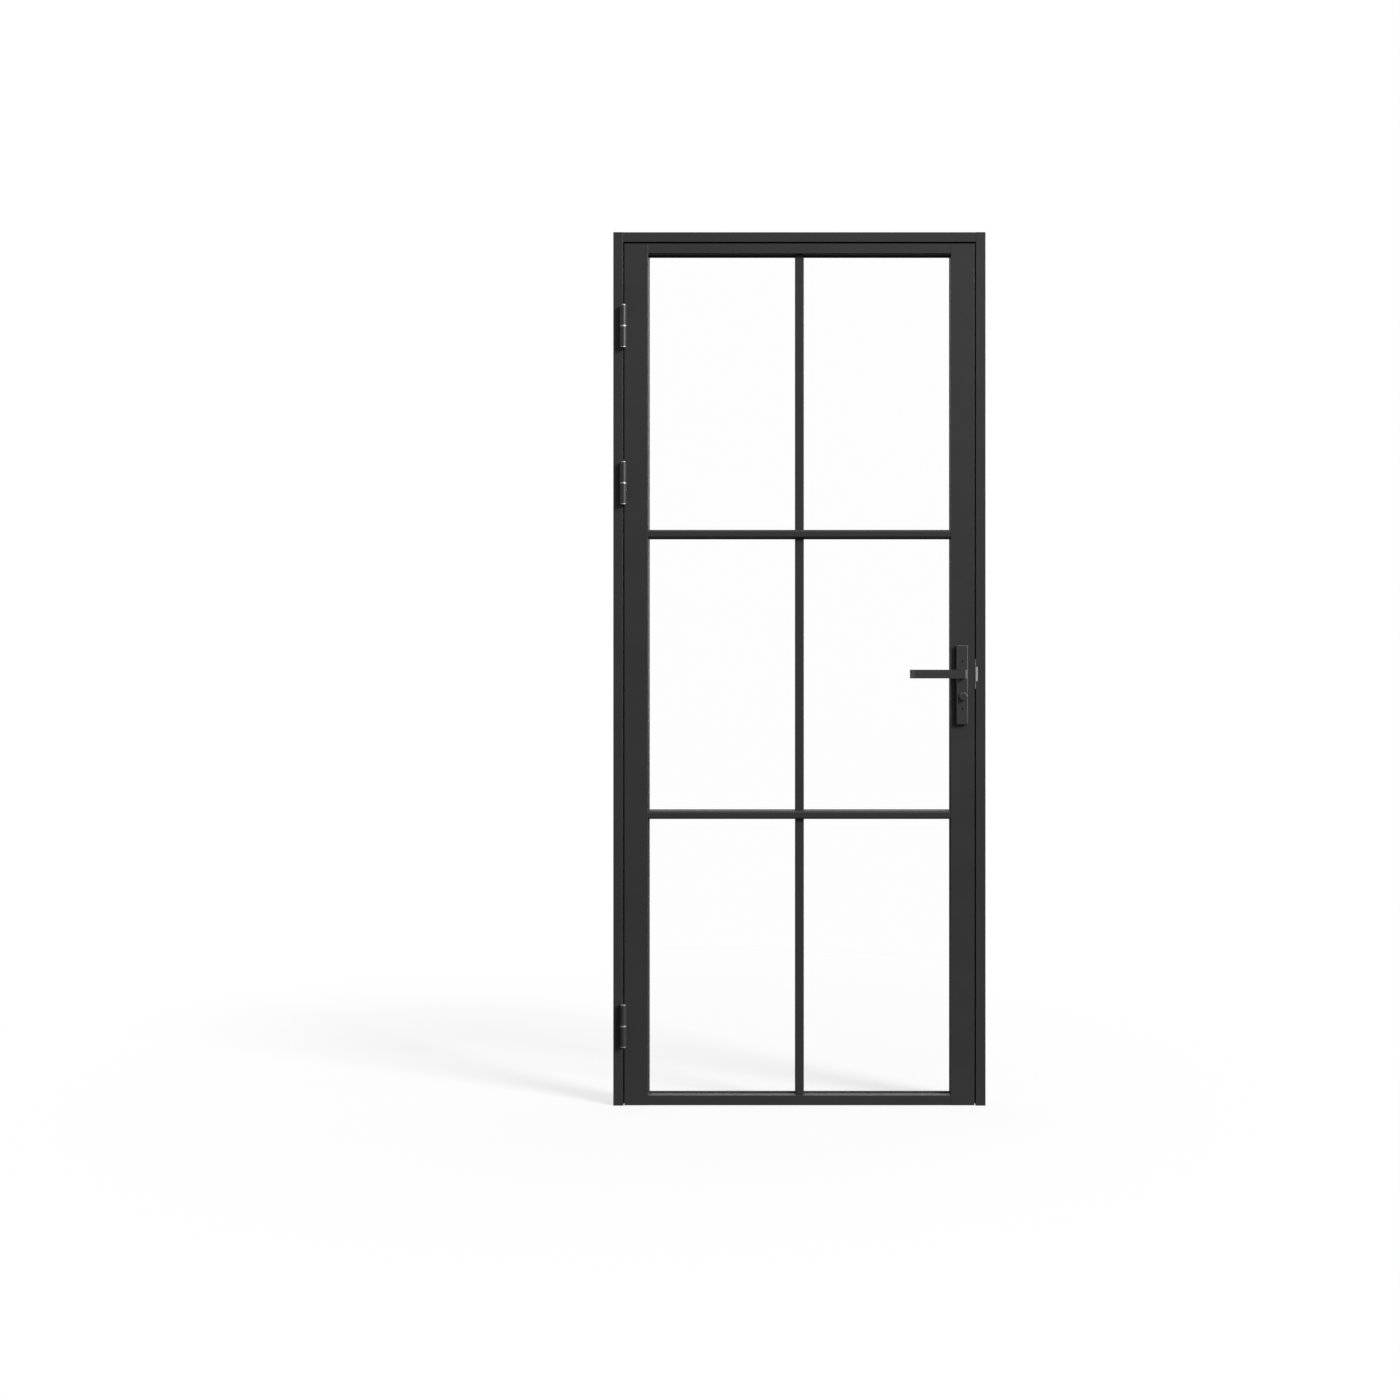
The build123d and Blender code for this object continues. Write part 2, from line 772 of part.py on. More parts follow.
def lock_case():
    """A folded tray, open to the forend and to its cover."""
    tray = block((case_left_x, forend_back_x), (-case_y, case_inner_y), case_z)
    inside = block(
        (case_left_x + case_wall, forend_back_x + past),
        (-case_inner_y, case_inner_y + past),
        grown(case_z, -case_wall),
    )
    return tray - inside - case_holes((-case_y - past, case_y))


def lock_cover():
    cover = block((case_left_x, forend_back_x), (case_inner_y, case_y), case_z)
    return cover - case_holes((case_inner_y - past, case_y + past))


def lock_forend():
    """The steel strip in the edge of the leaf, with windows for the latch and the dead bolt."""
    x = (forend_back_x, leaf_edge_x)
    strip = block(x, either_side(0, forend_width / 2), forend_z)
    gap = window_clearance
    half_y = latch_thickness / 2 + gap
    strip -= block(grown(x, past), either_side(0, half_y), either_side(axis_z, latch_height / 2 + gap))
    half_y = bolt_thickness / 2 + gap
    strip -= block(grown(x, past), either_side(0, half_y), either_side(turn_z, bolt_height / 2 + gap))
    for place in forend_screw_places():
        strip -= place * screw_hole()
    return strip


def forend_screws():
    return group(*[place * screw() for place in forend_screw_places()])


def drive_pin_x(arm, sweep):
    """How far the pin of a driving arm stands from the axis at either end of its sweep."""
    return arm * math.sin(math.radians(sweep / 2))


def drive_pin_z(arm, sweep):
    return arm * math.cos(math.radians(sweep / 2))


bolt_arm = bolt_throw / 2 / math.sin(math.radians(cam_angle / 2))
shoulder_x = (
    forend_back_x - latch_shoulder_clearance - latch_shoulder,
    forend_back_x - latch_shoulder_clearance,
)


def latch_bolt():
    """The latch: a bevelled head, a shoulder behind the forend and a slotted tail over the follower."""
    half_y = latch_thickness / 2
    tip_x = leaf_edge_x + latch_throw
    head_z = either_side(axis_z, latch_height / 2)
    head = block((shoulder_x[0], tip_x), either_side(0, half_y), head_z)
    bevel = outline(
        (leaf_edge_x + past, half_y),
        (tip_x + past, half_y),
        (tip_x + past, -half_y + latch_nose),
        (tip_x, -half_y + latch_nose),
    )
    head -= Pos(0, 0, head_z[0] - past) * extrude(bevel, amount=latch_height + 2 * past)
    head += block(shoulder_x, either_side(0, half_y), either_side(axis_z, shoulder_half_height))
    pin_x = axis_x + drive_pin_x(follower_arm, follower_angle)
    play = drive_pin_radius + latch_pin_clearance
    slot_x = (pin_x - play, pin_x + play + latch_throw)
    low = axis_z + drive_pin_z(follower_arm, follower_angle) - play
    high = axis_z + follower_arm + play
    tail_z = (axis_z + follower_radius + tail_side_clearance, axis_z + shoulder_half_height)
    tail = block((slot_x[0] - tail_wall, shoulder_x[1]), tail_y, tail_z)
    return head + (tail - block(slot_x, grown(tail_y, past), (low, high)))


def dead_bolt():
    """The dead bolt, drawn back, with a fork over the pin of the cam."""
    head_x = (leaf_edge_x - bolt_set_back - bolt_block_length, leaf_edge_x - bolt_set_back)
    head = block(head_x, either_side(0, bolt_thickness / 2), either_side(turn_z, bolt_height / 2))
    pin_x = axis_x - drive_pin_x(bolt_arm, cam_angle)
    play = drive_pin_radius + bolt_pin_clearance
    low = turn_z + drive_pin_z(bolt_arm, cam_angle) - drive_pin_radius
    high = turn_z + bolt_arm + play
    tail = block((pin_x - play - tail_wall, head_x[0] + tail_wall), tail_y, (low, high + tail_wall))
    tail -= block(either_side(pin_x, play), grown(tail_y, past), (low - past, high))
    return head + tail


def driving_arm(length, angle, z):
    """An arm above an axis, leaning by an angle, with a pin that reaches into a tail beside it."""
    arm = block(either_side(0, drive_arm_half_width), arm_y, (0, length))
    arm += rod_y(0, length, drive_arm_half_width, arm_y)
    arm += rod_y(0, length, drive_pin_radius, (pin_end_y, arm_y[1]))
    return Pos(axis_x, 0, z) * Rot(0, angle, 0) * arm


def follower():
    """The hub that the lever's spindle turns, carried by both sides of the case."""
    hub = rod_y(axis_x, axis_z, follower_radius, either_side(0, case_inner_y - drive_arm_clearance))
    hub += rod_y(axis_x, axis_z, follower_spigot_radius, either_side(0, case_y))
    hub += driving_arm(follower_arm, follower_angle / 2, axis_z)
    return hub - square_bar(axis_z, spindle_size + 2 * square_clearance, either_side(0, case_y + past))


def bolt_cam():
    """The hub on the thumb turn's spindle, narrow beside the bolt's tail and wide behind it."""
    hub = rod_y(axis_x, turn_z, cam_hub_radius, (arm_y[0], case_inner_y - drive_arm_clearance))
    hub += rod_y(axis_x, turn_z, cam_neck_radius, (-case_y, arm_y[0] + past))
    hub += rod_y(axis_x, turn_z, cam_spigot_radius, (-case_y, -case_inner_y))
    hub += rod_y(axis_x, turn_z, cam_spigot_radius, (case_inner_y - past, case_y))
    hub += driving_arm(bolt_arm, -cam_angle / 2, turn_z)
    return hub - square_bar(turn_z, turn_spindle_size + 2 * square_clearance, either_side(0, case_y + past))


def latch_spring():
    """A wire coil between the back of the case and the shoulder of the latch."""
    start = case_left_x + case_wall + spring_wire_radius
    end = shoulder_x[0] - spring_wire_radius
    coil = Helix(
        pitch=spring_pitch,
        height=end - start,
        radius=spring_radius,
        center=(start, 0, axis_z - spring_drop),
        direction=(1, 0, 0),
    )
    section = Plane(origin=coil @ 0, z_dir=coil % 0) * Circle(spring_wire_radius)
    return sweep(section, path=coil, is_frenet=True)


# All the pieces, by the names that a maker would use

pieces = {
    "hinge_jamb": jamb(),
    "lock_jamb": lock_jamb(),
    "frame_head": frame_head(),
    "hinge_side_stop": side_stop(),
    "lock_side_stop": mirror(side_stop(), Plane.YZ),
    "head_stop": head_stop(),
    "door_seal": door_seal(),
    "strike_plate": strike_plate(),
    "strike_screws": strike_screws(),
    "hinge_washers": group(*[hinge_washer(height) for height in hinge_heights]),
    "hinge_stile": stile(),
    "lock_stile": lock_stile(),
    "top_rail": rail(leaf_top_z, top_sight_z),
    "bottom_rail": rail(floor_gap, bottom_sight_z),
    "upper_cross_bar": cross_bar(upper_bar_z),
    "lower_cross_bar": cross_bar(lower_bar_z),
    "glazing_gaskets": group(*[gasket(x, z) for z in rows.values() for x in columns.values()]),
    "hinge_caps": group(*[hinge_cap(height) for height in hinge_heights]),
    "handle_plate_front": front_plate(),
    "handle_plate_rear": rear_plate(),
    "handle_bolts": group(*[handle_bolt(height) for height in bolt_heights]),
    "lever_front": lever(lever_length),
    "lever_rear": mirror(lever(rear_lever_length), Plane.XZ),
    "lever_spindle": spindle(),
    "thumb_turn": thumb_turn(),
    "release_disc": release_disc(),
    "lock_case": lock_case(),
    "lock_cover": lock_cover(),
    "lock_forend": lock_forend(),
    "forend_screws": forend_screws(),
    "follower": follower(),
    "bolt_cam": bolt_cam(),
    "latch_bolt": latch_bolt(),
    "dead_bolt": dead_bolt(),
    "latch_spring": latch_spring(),
}
for number, height in enumerate(hinge_heights, start=1):
    pieces[f"frame_knuckle_{number}"] = frame_knuckle(height)
    pieces[f"leaf_knuckle_{number}"] = leaf_knuckle(height)
    pieces[f"hinge_pin_{number}"] = hinge_pin(height)
for row, z in rows.items():
    pieces[f"upright_bar_{row}"] = upright_bar(z)
    for column, x in columns.items():
        pieces[f"glass_{row}_{column}"] = pane(x, z)
        pieces[f"beads_{row}_{column}"] = beads(x, z)

os.makedirs("parts", exist_ok=True)
for name, piece in pieces.items():
    export_step(piece, f"parts/{name}.step")
print(len(pieces), "pieces written")
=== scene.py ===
import math

import bpy
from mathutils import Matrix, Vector


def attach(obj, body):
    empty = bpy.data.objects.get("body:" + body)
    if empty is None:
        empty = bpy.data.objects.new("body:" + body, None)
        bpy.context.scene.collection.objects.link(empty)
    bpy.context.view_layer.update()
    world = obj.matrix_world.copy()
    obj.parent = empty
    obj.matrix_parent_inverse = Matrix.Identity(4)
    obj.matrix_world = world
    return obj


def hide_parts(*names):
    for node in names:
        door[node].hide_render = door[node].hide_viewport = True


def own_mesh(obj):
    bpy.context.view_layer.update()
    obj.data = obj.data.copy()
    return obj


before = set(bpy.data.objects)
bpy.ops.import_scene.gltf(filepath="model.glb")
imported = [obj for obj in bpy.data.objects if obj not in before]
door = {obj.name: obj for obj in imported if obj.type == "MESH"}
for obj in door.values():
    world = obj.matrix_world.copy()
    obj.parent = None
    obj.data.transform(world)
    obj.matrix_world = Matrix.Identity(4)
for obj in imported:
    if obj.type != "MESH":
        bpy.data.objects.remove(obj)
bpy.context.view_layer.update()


# Camera
# It stands level and square to the door, 4.35 m in front of its face and half way up.
# The door stands a little to the right of the middle of the picture, which the lens shift gives.

door_face_y = -0.025
camera_distance = 4.35
camera_height = 1.0675
picture_pixels = 1400
metres_per_pixel = 0.002444
door_middle_pixel = 799.4
horizon_pixel = 668.9

picture_width = picture_pixels * metres_per_pixel
camera_data = bpy.data.cameras.new("camera")
camera_data.sensor_width = 36.0
camera_data.lens = camera_data.sensor_width * camera_distance / picture_width
camera_data.shift_x = (picture_pixels / 2 - door_middle_pixel) / picture_pixels
camera_data.shift_y = (horizon_pixel - picture_pixels / 2) / picture_pixels
camera = bpy.data.objects.new("camera", camera_data)
camera.location = (0.0, door_face_y - camera_distance, camera_height)
camera.rotation_euler = (math.radians(90), 0.0, 0.0)
bpy.context.scene.collection.objects.link(camera)
bpy.context.scene.camera = camera
bpy.context.scene.view_settings.view_transform = "Standard"


# Studio: world, floor and lamp
# A white sweep of paper lies under the door and rises behind it, and the room behind the camera is dark.
# One soft lamp shines from far off, at the front right and above the door.


def linear(code):
    """The linear colour of an sRGB hex value."""
    parts = [int(code[place:place + 2], 16) / 255 for place in (1, 3, 5)]
    return [p / 12.92 if p <= 0.04045 else ((p + 0.055) / 1.055) ** 2.4 for p in parts] + [1.0]


def add(tree, kind, inputs=None, **settings):
    """Adds a node. An input is a value, or the socket that is linked to it."""
    node = tree.nodes.new(kind)
    for name, value in settings.items():
        setattr(node, name, value)
    for socket, value in (inputs or {}).items():
        if isinstance(value, bpy.types.NodeSocket):
            tree.links.new(value, node.inputs[socket])
        else:
            node.inputs[socket].default_value = value
    return node


def straight_view(tree, rays):
    """A socket that is 1 for what the camera sees, straight or through glass, but not in a mirror."""
    bounces = add(tree, "ShaderNodeMath", {
        0: rays.outputs["Glossy Depth"], 1: rays.outputs["Diffuse Depth"],
    }, operation="ADD")
    direct = add(tree, "ShaderNodeMath", {0: bounces.outputs[0], 1: 0.5}, operation="LESS_THAN")
    through = add(tree, "ShaderNodeMath", {
        0: rays.outputs["Is Transmission Ray"], 1: direct.outputs[0],
    }, operation="MULTIPLY")
    seen = add(tree, "ShaderNodeMath", {
        0: rays.outputs["Is Camera Ray"], 1: through.outputs[0],
    }, operation="MAXIMUM")
    return seen.outputs[0]


def room_side(tree, direction, side, begins, full, low, high):
    """The room's level: high where a direction points at a side, and low where it points away."""
    along = add(tree, "ShaderNodeVectorMath", {
        0: direction.outputs["Generated"], 1: side,
    }, operation="DOT_PRODUCT")
    level = add(tree, "ShaderNodeMapRange", {
        "Value": along.outputs["Value"], "From Min": begins, "From Max": full,
        "To Min": low, "To Max": high,
    }, interpolation_type="SMOOTHSTEP")
    return level.outputs["Result"]


# In reflections the room is brightest up to the right and behind the door, duller to the left and
# darkest low down in front. As light on the paint it is weaker, with a fill from behind that shows the
# back of the door. What the camera sees, also through glass, is plain white.
bright_side = (0.66, 0.20, 0.72)
bright_begins, bright_full = -0.15, 0.60
darkest_level = 0.08
left_side = (-1.0, 0.0, 0.0)
left_begins, left_full = 0.2, 0.8
left_level = 0.60
ambient_level = 0.45
back_side = (0.0, 1.0, 0.0)
back_begins, back_full = 0.2, 0.8
back_level = 0.6

world = bpy.data.worlds.new("white_sweep")
bpy.context.scene.world = world
world.use_nodes = True
tree = world.node_tree
tree.nodes.clear()
rays = add(tree, "ShaderNodeLightPath")
direction = add(tree, "ShaderNodeTexCoord")
bright = room_side(tree, direction, bright_side, bright_begins, bright_full, darkest_level, 1.0)
left = room_side(tree, direction, left_side, left_begins, left_full, 0.0, left_level)
room = add(tree, "ShaderNodeMath", {0: bright, 1: left}, operation="MAXIMUM")
dimmed = add(tree, "ShaderNodeMath", {0: room.outputs[0], 1: ambient_level}, operation="MULTIPLY")
fill = room_side(tree, direction, back_side, back_begins, back_full, 0.0, back_level)
ambient = add(tree, "ShaderNodeMath", {0: dimmed.outputs[0], 1: fill}, operation="MAXIMUM")
unscattered = add(tree, "ShaderNodeMath", {
    0: rays.outputs["Diffuse Depth"], 1: 0.5,
}, operation="LESS_THAN")
glossy = add(tree, "ShaderNodeMath", {
    0: rays.outputs["Is Glossy Ray"], 1: unscattered.outputs[0],
}, operation="MULTIPLY")
mirrored = add(tree, "ShaderNodeMix", {
    "Factor": glossy.outputs[0], "A": ambient.outputs[0], "B": room.outputs[0],
}, data_type="FLOAT")
level = add(tree, "ShaderNodeMix", {
    "Factor": straight_view(tree, rays), "A": mirrored.outputs["Result"], "B": 1.0,
}, data_type="FLOAT")
light = add(tree, "ShaderNodeBackground", {
    "Color": linear("#ffffff"), "Strength": level.outputs["Result"],
})
add(tree, "ShaderNodeOutputWorld", {"Surface": light.outputs[0]})

# Round the door the paper shows a share of the lamp's light, which gives it the faint shadow,
# and further off it is plain white. In metal and paint it shows dim, and least so just behind the door.
floor_half = 30.0
paper_white, paper_unseen = "#ffffff", "#8c8c8c"
shadow_share = 0.29
shadow_centre = (-0.4, 0.4, 0.0)
shadow_near, shadow_far = 0.7, 2.0
paper_level = 1.012
mirrored_front, mirrored_back = 0.03, 0.15
mirrored_middle, mirrored_depth = 2.0, 3.0

floor_mesh = bpy.data.meshes.new("paper_floor")
floor_corners = [
    (x * floor_half, y * floor_half, 0) for x, y in ((-1, -1), (1, -1), (1, 1), (-1, 1))
]
floor_mesh.from_pydata(floor_corners, [], [(0, 1, 2, 3)])
floor = bpy.data.objects.new("paper_floor", floor_mesh)
bpy.context.scene.collection.objects.link(floor)
paper = bpy.data.materials.new("white_paper")
paper.use_nodes = True
tree = paper.node_tree
tree.nodes.clear()
rays = add(tree, "ShaderNodeLightPath")
seen = straight_view(tree, rays)
shade = add(tree, "ShaderNodeMix", {
    "Factor": seen, "A": linear(paper_unseen), "B": linear(paper_white),
}, data_type="RGBA")
lit = add(tree, "ShaderNodeBsdfDiffuse", {"Color": shade.outputs["Result"]})
place = add(tree, "ShaderNodeTexCoord")
away = add(tree, "ShaderNodeVectorMath", {
    0: place.outputs["Object"], 1: shadow_centre,
}, operation="DISTANCE")
near = add(tree, "ShaderNodeMapRange", {
    "Value": away.outputs["Value"], "From Min": shadow_near, "From Max": shadow_far,
    "To Min": 1.0 - shadow_share, "To Max": 1.0,
}, interpolation_type="SMOOTHSTEP")
white = add(tree, "ShaderNodeMapRange", {
    "Value": away.outputs["Value"], "From Min": shadow_near, "From Max": shadow_far,
    "To Min": paper_level, "To Max": 1.0,
}, interpolation_type="SMOOTHSTEP")
depth = add(tree, "ShaderNodeSeparateXYZ", {0: place.outputs["Object"]})
past_middle = add(tree, "ShaderNodeMath", {
    0: depth.outputs["Y"], 1: mirrored_middle,
}, operation="SUBTRACT")
off_middle = add(tree, "ShaderNodeMath", {0: past_middle.outputs[0]}, operation="ABSOLUTE")
mirrored = add(tree, "ShaderNodeMapRange", {
    "Value": off_middle.outputs[0], "From Min": 0.0, "From Max": mirrored_depth,
    "To Min": mirrored_back, "To Max": mirrored_front,
}, interpolation_type="SMOOTHSTEP")
strength = add(tree, "ShaderNodeMix", {
    "Factor": seen, "A": mirrored.outputs["Result"], "B": white.outputs["Result"],
}, data_type="FLOAT")
bare = add(tree, "ShaderNodeEmission", {
    "Color": linear(paper_white), "Strength": strength.outputs["Result"],
})
shown = add(tree, "ShaderNodeMath", {0: seen, 1: rays.outputs["Is Glossy Ray"]}, operation="MAXIMUM")
share = add(tree, "ShaderNodeMath", {
    0: shown.outputs[0], 1: near.outputs["Result"],
}, operation="MULTIPLY")
mix = add(tree, "ShaderNodeMixShader", {"Fac": share.outputs[0], 1: lit.outputs[0], 2: bare.outputs[0]})
add(tree, "ShaderNodeOutputMaterial", {"Surface": mix.outputs[0]})
floor_mesh.materials.append(paper)

lamp_azimuth = math.radians(52)
lamp_height_angle = math.radians(26)
lamp_width_angle = math.radians(20)
lamp_energy = 3.8
lamp_data = bpy.data.lights.new("soft_lamp", "SUN")
lamp_data.angle = lamp_width_angle
lamp_data.energy = lamp_energy
lamp = bpy.data.objects.new("soft_lamp", lamp_data)
towards = Vector((
    math.sin(lamp_azimuth) * math.cos(lamp_height_angle),
    -math.cos(lamp_azimuth) * math.cos(lamp_height_angle),
    math.sin(lamp_height_angle),
))
lamp.rotation_euler = towards.to_track_quat("Z", "Y").to_euler()
bpy.context.scene.collection.objects.link(lamp)


# Steel frame: two jambs, the head, and the stops behind the leaf
# Rectangular steel tubes, cut square and welded, ground flush at the front.
# They are powder coated in a dark charcoal with a low sheen after welding.


def dress(material, *names):
    """Gives a material to CAD nodes, in every slot that they have."""
    for name in names:
        mesh = door[name].data
        mesh.materials.clear()
        mesh.materials.append(material)


def made_of(name):
    """A new material without any node, and its tree."""
    material = bpy.data.materials.new(name)
    material.use_nodes = True
    material.node_tree.nodes.clear()
    return material, material.node_tree


# Polyester powder baked on steel: a thin even skin with a faint orange peel and a low sheen, so that
# broad faces stay dark and edges that turn towards the light or the paper show pale.
powder_dark, powder_pale = "#2e2e2e", "#323232"
powder_cloud_size = 0.12
powder_peel_size = 0.004   # the real peel is under 2 mm across, drawn coarser so that it shows
peel_height = 0.0001
powder_smooth, powder_rough = 0.34, 0.42

powder_coat, tree = made_of("charcoal_powder_coat")
place = add(tree, "ShaderNodeTexCoord")
cloud = add(tree, "ShaderNodeTexNoise", {
    "Vector": place.outputs["Object"], "Scale": 1 / powder_cloud_size, "Detail": 3.0,
})
peel = add(tree, "ShaderNodeTexNoise", {
    "Vector": place.outputs["Object"], "Scale": 1 / powder_peel_size, "Detail": 2.0,
})
tone = add(tree, "ShaderNodeMix", {
    "Factor": cloud.outputs["Fac"], "A": linear(powder_dark), "B": linear(powder_pale),
}, data_type="RGBA")
sheen = add(tree, "ShaderNodeMapRange", {
    "Value": cloud.outputs["Fac"], "To Min": powder_smooth, "To Max": powder_rough,
})
relief = add(tree, "ShaderNodeBump", {
    "Height": peel.outputs["Fac"], "Strength": 0.15, "Distance": peel_height,
})
skin = add(tree, "ShaderNodeBsdfPrincipled", {
    "Base Color": tone.outputs["Result"], "Roughness": sheen.outputs["Result"],
    "Normal": relief.outputs["Normal"], "IOR": 1.5,
})
add(tree, "ShaderNodeOutputMaterial", {"Surface": skin.outputs[0]})

dress(powder_coat, "hinge_jamb", "lock_jamb", "frame_head")
dress(powder_coat, "hinge_side_stop", "lock_side_stop", "head_stop")


# Leaf: stiles, rails, glazing bars and beads
# Steel tubes with a rebate for the glass, mitre-free and welded, with T bars between the panes.
# The beads behind the glass are small square tubes that clip on. All share the frame's coating.

pane_rows, pane_columns = ("top", "middle", "bottom"), ("left", "right")
pane_names = [f"{row}_{column}" for row in pane_rows for column in pane_columns]
dress(powder_coat, "hinge_stile", "lock_stile", "top_rail", "bottom_rail")
dress(powder_coat, "upper_cross_bar", "lower_cross_bar")
dress(powder_coat, *[f"upright_bar_{row}" for row in pane_rows])
dress(powder_coat, *[f"beads_{pane}" for pane in pane_names])


# Panes
# Six lights of 8 mm clear toughened float glass, each held in its rebate by a gasket and four beads.
# Low-reflection float glass: it shows the paper behind it almost unchanged and hardly mirrors the room,
# which an IOR under that of plain glass gives. The lamp shines straight through it, a little weaker.

glass_clear, glass_to_lamp = "#ffffff", "#fafafa"
glass_waves_per_metre = 3.0
glass_haze = 0.012

clear_glass, tree = made_of("low_reflection_float_glass")
place = add(tree, "ShaderNodeTexCoord")
wave = add(tree, "ShaderNodeTexNoise", {
    "Vector": place.outputs["Object"], "Scale": glass_waves_per_metre, "Detail": 1.0,
})
clarity = add(tree, "ShaderNodeMapRange", {
    "Value": wave.outputs["Fac"], "To Min": 0.0, "To Max": glass_haze,
})
body = add(tree, "ShaderNodeBsdfPrincipled", {
    "Base Color": linear(glass_clear), "Roughness": clarity.outputs["Result"], "IOR": 1.2,
    "Transmission Weight": 1.0,
})
through = add(tree, "ShaderNodeBsdfTransparent", {"Color": linear(glass_to_lamp)})
rays = add(tree, "ShaderNodeLightPath")
lighting = add(tree, "ShaderNodeMath", {
    0: rays.outputs["Is Shadow Ray"], 1: rays.outputs["Is Diffuse Ray"],
}, operation="MAXIMUM")
mix = add(tree, "ShaderNodeMixShader", {
    "Fac": lighting.outputs[0], 1: body.outputs[0], 2: through.outputs[0],
})
add(tree, "ShaderNodeOutputMaterial", {"Surface": mix.outputs[0]})
dress(clear_glass, *[f"glass_{pane}" for pane in pane_names])


# Rubber: the glazing gaskets and the door seal
# Extruded EPDM, pressed in dry round each pane and glued to the stops.
# A dead black that hardly shines, with a faint bloom.

rubber_dark, rubber_bloom = "#161616", "#1d1d1d"
bloom_size = 0.02

rubber, tree = made_of("black_epdm_rubber")
place = add(tree, "ShaderNodeTexCoord")
bloom = add(tree, "ShaderNodeTexNoise", {
    "Vector": place.outputs["Object"], "Scale": 1 / bloom_size, "Detail": 4.0,
})
tone = add(tree, "ShaderNodeMix", {
    "Factor": bloom.outputs["Fac"], "A": linear(rubber_dark), "B": linear(rubber_bloom),
}, data_type="RGBA")
skin = add(tree, "ShaderNodeBsdfPrincipled", {
    "Base Color": tone.outputs["Result"], "Roughness": 0.7, "IOR": 1.5,
})
add(tree, "ShaderNodeOutputMaterial", {"Surface": skin.outputs[0]})
dress(rubber, "door_seal", "glazing_gaskets")


# Hinges
# Lift-off barrels turned from steel and welded on, coated with the frame, with bare stainless pins,
# washers and caps that the coating was kept off.

hinge_numbers = (1, 2, 3)
dress(powder_coat, *[f"frame_knuckle_{number}" for number in hinge_numbers])
dress(powder_coat, *[f"leaf_knuckle_{number}" for number in hinge_numbers])

# Stainless steel, turned and left matt: a mid grey with fine rings left by the tool round its axis.
turned_dark, turned_pale = "#a2a2a2", "#bcbcbb"
turned_smooth, turned_rough = 0.44, 0.60
rings_per_metre = (20.0, 20.0, 2500.0)   # a ring each 0.4 mm up the axis, hardly changing across it

turned_steel, tree = made_of("turned_stainless_steel")
place = add(tree, "ShaderNodeTexCoord")
rings = add(tree, "ShaderNodeMapping", {"Vector": place.outputs["Object"], "Scale": rings_per_metre})
marks = add(tree, "ShaderNodeTexNoise", {
    "Vector": rings.outputs["Vector"], "Scale": 1.0, "Detail": 3.0,
})
tone = add(tree, "ShaderNodeMix", {
    "Factor": marks.outputs["Fac"], "A": linear(turned_dark), "B": linear(turned_pale),
}, data_type="RGBA")
gloss = add(tree, "ShaderNodeMapRange", {
    "Value": marks.outputs["Fac"], "To Min": turned_smooth, "To Max": turned_rough,
})
metal = add(tree, "ShaderNodeBsdfPrincipled", {
    "Base Color": tone.outputs["Result"], "Metallic": 1.0, "Roughness": gloss.outputs["Result"],
})
add(tree, "ShaderNodeOutputMaterial", {"Surface": metal.outputs[0]})
dress(turned_steel, "hinge_washers", "hinge_caps", *[f"hinge_pin_{number}" for number in hinge_numbers])


# Lock: strike, forend, bolts, case and follower
# The strike and forend are stainless sheet and the bolts stainless bar, all brushed upright.
# The case is folded from zinc plated sheet and sits inside the stile, with its moving parts plated too.

# Stainless steel, brushed: pale grey, with long fine streaks.
brushed_dark, brushed_pale = "#b8b8b7", "#d2d2d1"
brushed_smooth, brushed_rough = 0.42, 0.58
streaks_per_metre = (1600.0, 1600.0, 30.0)   # streaks 0.6 mm wide and 33 mm long

brushed_steel, tree = made_of("brushed_stainless_steel")
place = add(tree, "ShaderNodeTexCoord")
grain = add(tree, "ShaderNodeMapping", {"Vector": place.outputs["Object"], "Scale": streaks_per_metre})
streaks = add(tree, "ShaderNodeTexNoise", {
    "Vector": grain.outputs["Vector"], "Scale": 1.0, "Detail": 3.0,
})
tone = add(tree, "ShaderNodeMix", {
    "Factor": streaks.outputs["Fac"], "A": linear(brushed_dark), "B": linear(brushed_pale),
}, data_type="RGBA")
gloss = add(tree, "ShaderNodeMapRange", {
    "Value": streaks.outputs["Fac"], "To Min": brushed_smooth, "To Max": brushed_rough,
})
metal = add(tree, "ShaderNodeBsdfPrincipled", {
    "Base Color": tone.outputs["Result"], "Metallic": 1.0, "Roughness": gloss.outputs["Result"],
})
add(tree, "ShaderNodeOutputMaterial", {"Surface": metal.outputs[0]})
dress(brushed_steel, "strike_plate", "lock_forend", "latch_bolt", "dead_bolt")

# Zinc plate on mild steel: a dull pale grey with a soft spangle.
zinc_dark, zinc_pale = "#9a9b9d", "#b4b5b6"
spangle_size = 0.003

zinc_plate, tree = made_of("zinc_plated_steel")
place = add(tree, "ShaderNodeTexCoord")
spangle = add(tree, "ShaderNodeTexVoronoi", {
    "Vector": place.outputs["Object"], "Scale": 1 / spangle_size,
})
tone = add(tree, "ShaderNodeMix", {
    "Factor": spangle.outputs["Distance"], "A": linear(zinc_dark), "B": linear(zinc_pale),
}, data_type="RGBA")
metal = add(tree, "ShaderNodeBsdfPrincipled", {
    "Base Color": tone.outputs["Result"], "Metallic": 1.0, "Roughness": 0.45,
})
add(tree, "ShaderNodeOutputMaterial", {"Surface": metal.outputs[0]})
dress(zinc_plate, "lock_case", "lock_cover", "follower", "bolt_cam", "lever_spindle", "latch_spring")

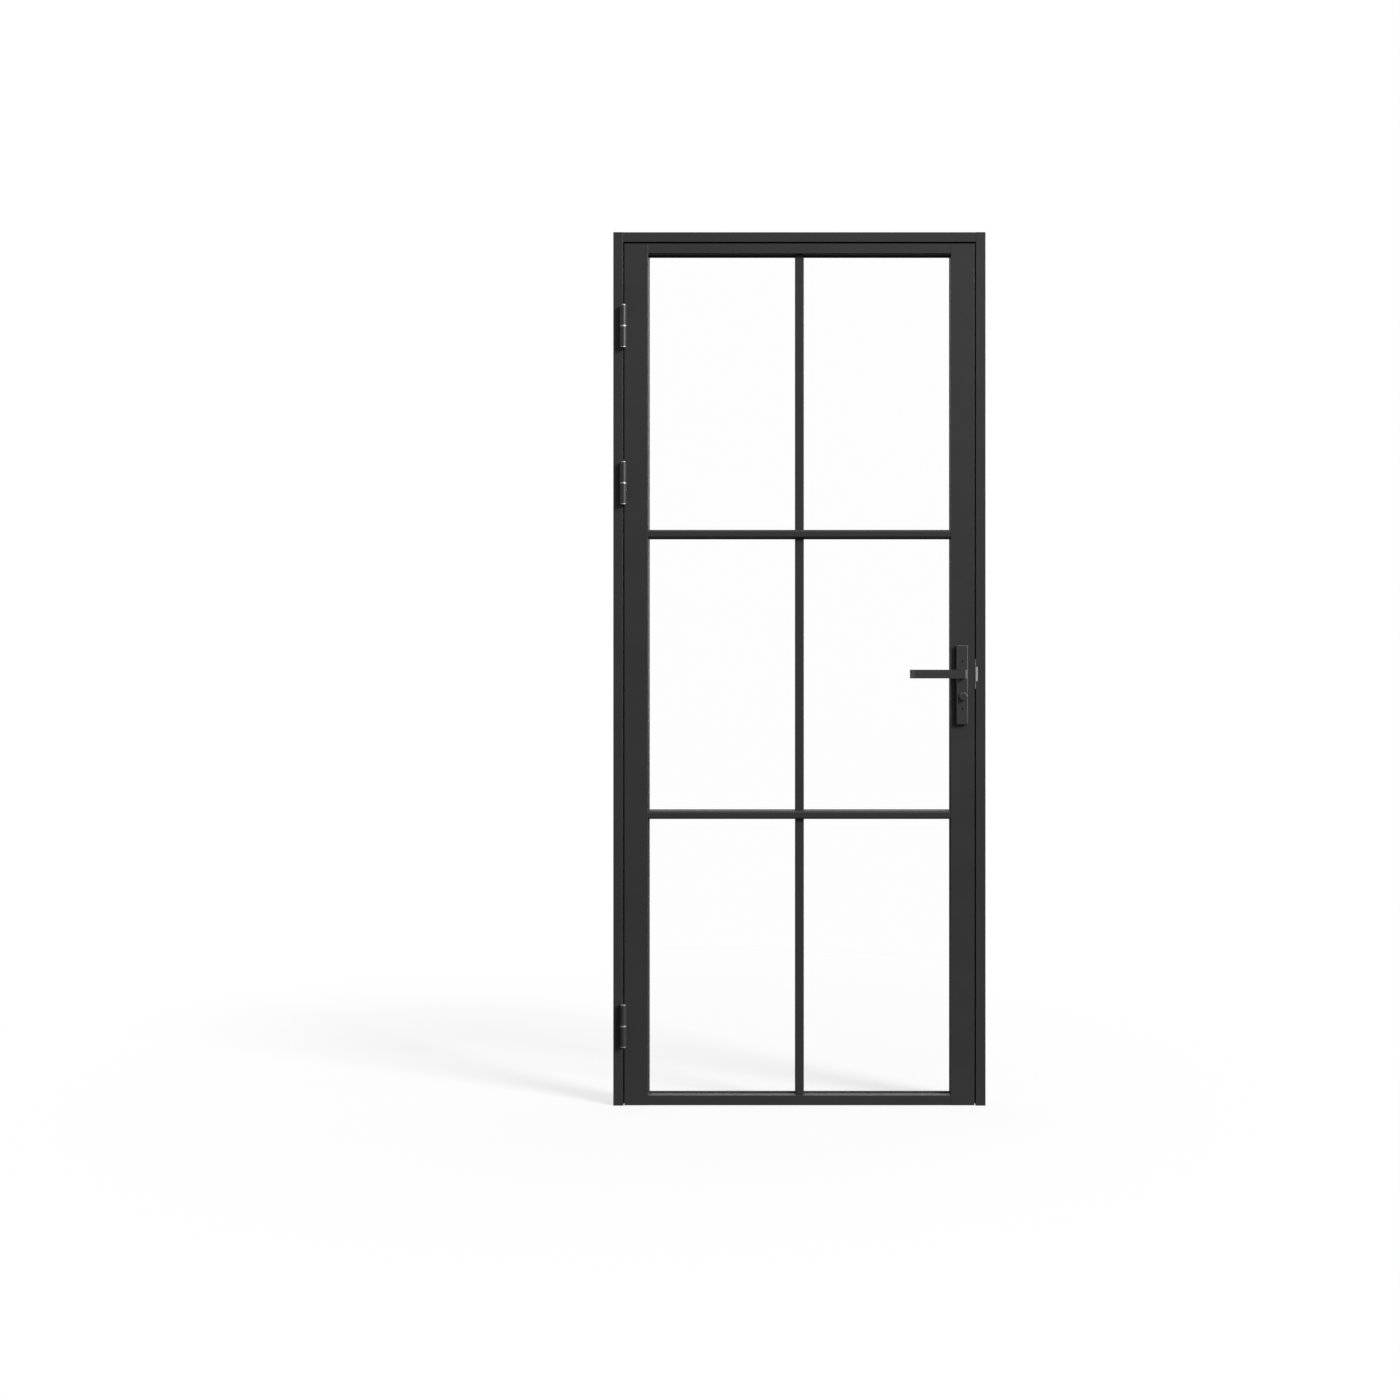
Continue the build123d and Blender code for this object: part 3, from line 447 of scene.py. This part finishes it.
# The coil behind the latch rests on the case at its left end; in the lock it shortens as the lever draws
# the latch in. Here it is a rigid copy of the spring with a mesh of its own, carried with the leaf, and
# the
# CAD spring is hidden.
coil = bpy.data.objects.new("latch_coil", door["latch_spring"].data.copy())
coil.matrix_world = door["latch_spring"].matrix_world
bpy.context.scene.collection.objects.link(coil)
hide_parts("latch_spring")
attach(coil, "leaf")
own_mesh(coil)

# Steel screws and bolts blackened in oil: dark, with a little metal showing through.
oxide_dark, oxide_worn = "#1c1c1d", "#2b2b2c"
wear_size = 0.0015

black_oxide, tree = made_of("blackened_steel")
place = add(tree, "ShaderNodeTexCoord")
wear = add(tree, "ShaderNodeTexNoise", {
    "Vector": place.outputs["Object"], "Scale": 1 / wear_size, "Detail": 3.0,
})
tone = add(tree, "ShaderNodeMix", {
    "Factor": wear.outputs["Fac"], "A": linear(oxide_dark), "B": linear(oxide_worn),
}, data_type="RGBA")
metal = add(tree, "ShaderNodeBsdfPrincipled", {
    "Base Color": tone.outputs["Result"], "Metallic": 0.6, "Roughness": 0.5,
})
add(tree, "ShaderNodeOutputMaterial", {"Surface": metal.outputs[0]})
dress(black_oxide, "strike_screws", "forend_screws", "handle_bolts")


# Handle: two plates, two levers, the thumb turn and the release disc
# Cast zinc alloy, linished flat. Two bolts through the stile hold the plates, and one square spindle
# carries both levers.

# Wet lacquer on the casting, in the door's charcoal: smoother than the powder coat, so that faces turned
# to the bright side of the room show a clear grey and the flat front stays dark.
lacquer_dark, lacquer_pale = "#333333", "#373737"
lacquer_cloud_size = 0.03
lacquer_peel_size = 0.003
lacquer_smooth, lacquer_rough = 0.20, 0.26

handle_coat, tree = made_of("lacquered_zinc_casting")
place = add(tree, "ShaderNodeTexCoord")
cloud = add(tree, "ShaderNodeTexNoise", {
    "Vector": place.outputs["Object"], "Scale": 1 / lacquer_cloud_size, "Detail": 3.0,
})
peel = add(tree, "ShaderNodeTexNoise", {
    "Vector": place.outputs["Object"], "Scale": 1 / lacquer_peel_size, "Detail": 2.0,
})
tone = add(tree, "ShaderNodeMix", {
    "Factor": cloud.outputs["Fac"], "A": linear(lacquer_dark), "B": linear(lacquer_pale),
}, data_type="RGBA")
sheen = add(tree, "ShaderNodeMapRange", {
    "Value": cloud.outputs["Fac"], "To Min": lacquer_smooth, "To Max": lacquer_rough,
})
relief = add(tree, "ShaderNodeBump", {
    "Height": peel.outputs["Fac"], "Strength": 0.05, "Distance": peel_height,
})
skin = add(tree, "ShaderNodeBsdfPrincipled", {
    "Base Color": tone.outputs["Result"], "Roughness": sheen.outputs["Result"],
    "Normal": relief.outputs["Normal"], "IOR": 1.7, "Specular IOR Level": 1.0,
})
add(tree, "ShaderNodeOutputMaterial", {"Surface": skin.outputs[0]})
dress(handle_coat, "handle_plate_front", "handle_plate_rear", "lever_front", "lever_rear")
dress(handle_coat, "thumb_turn", "release_disc")
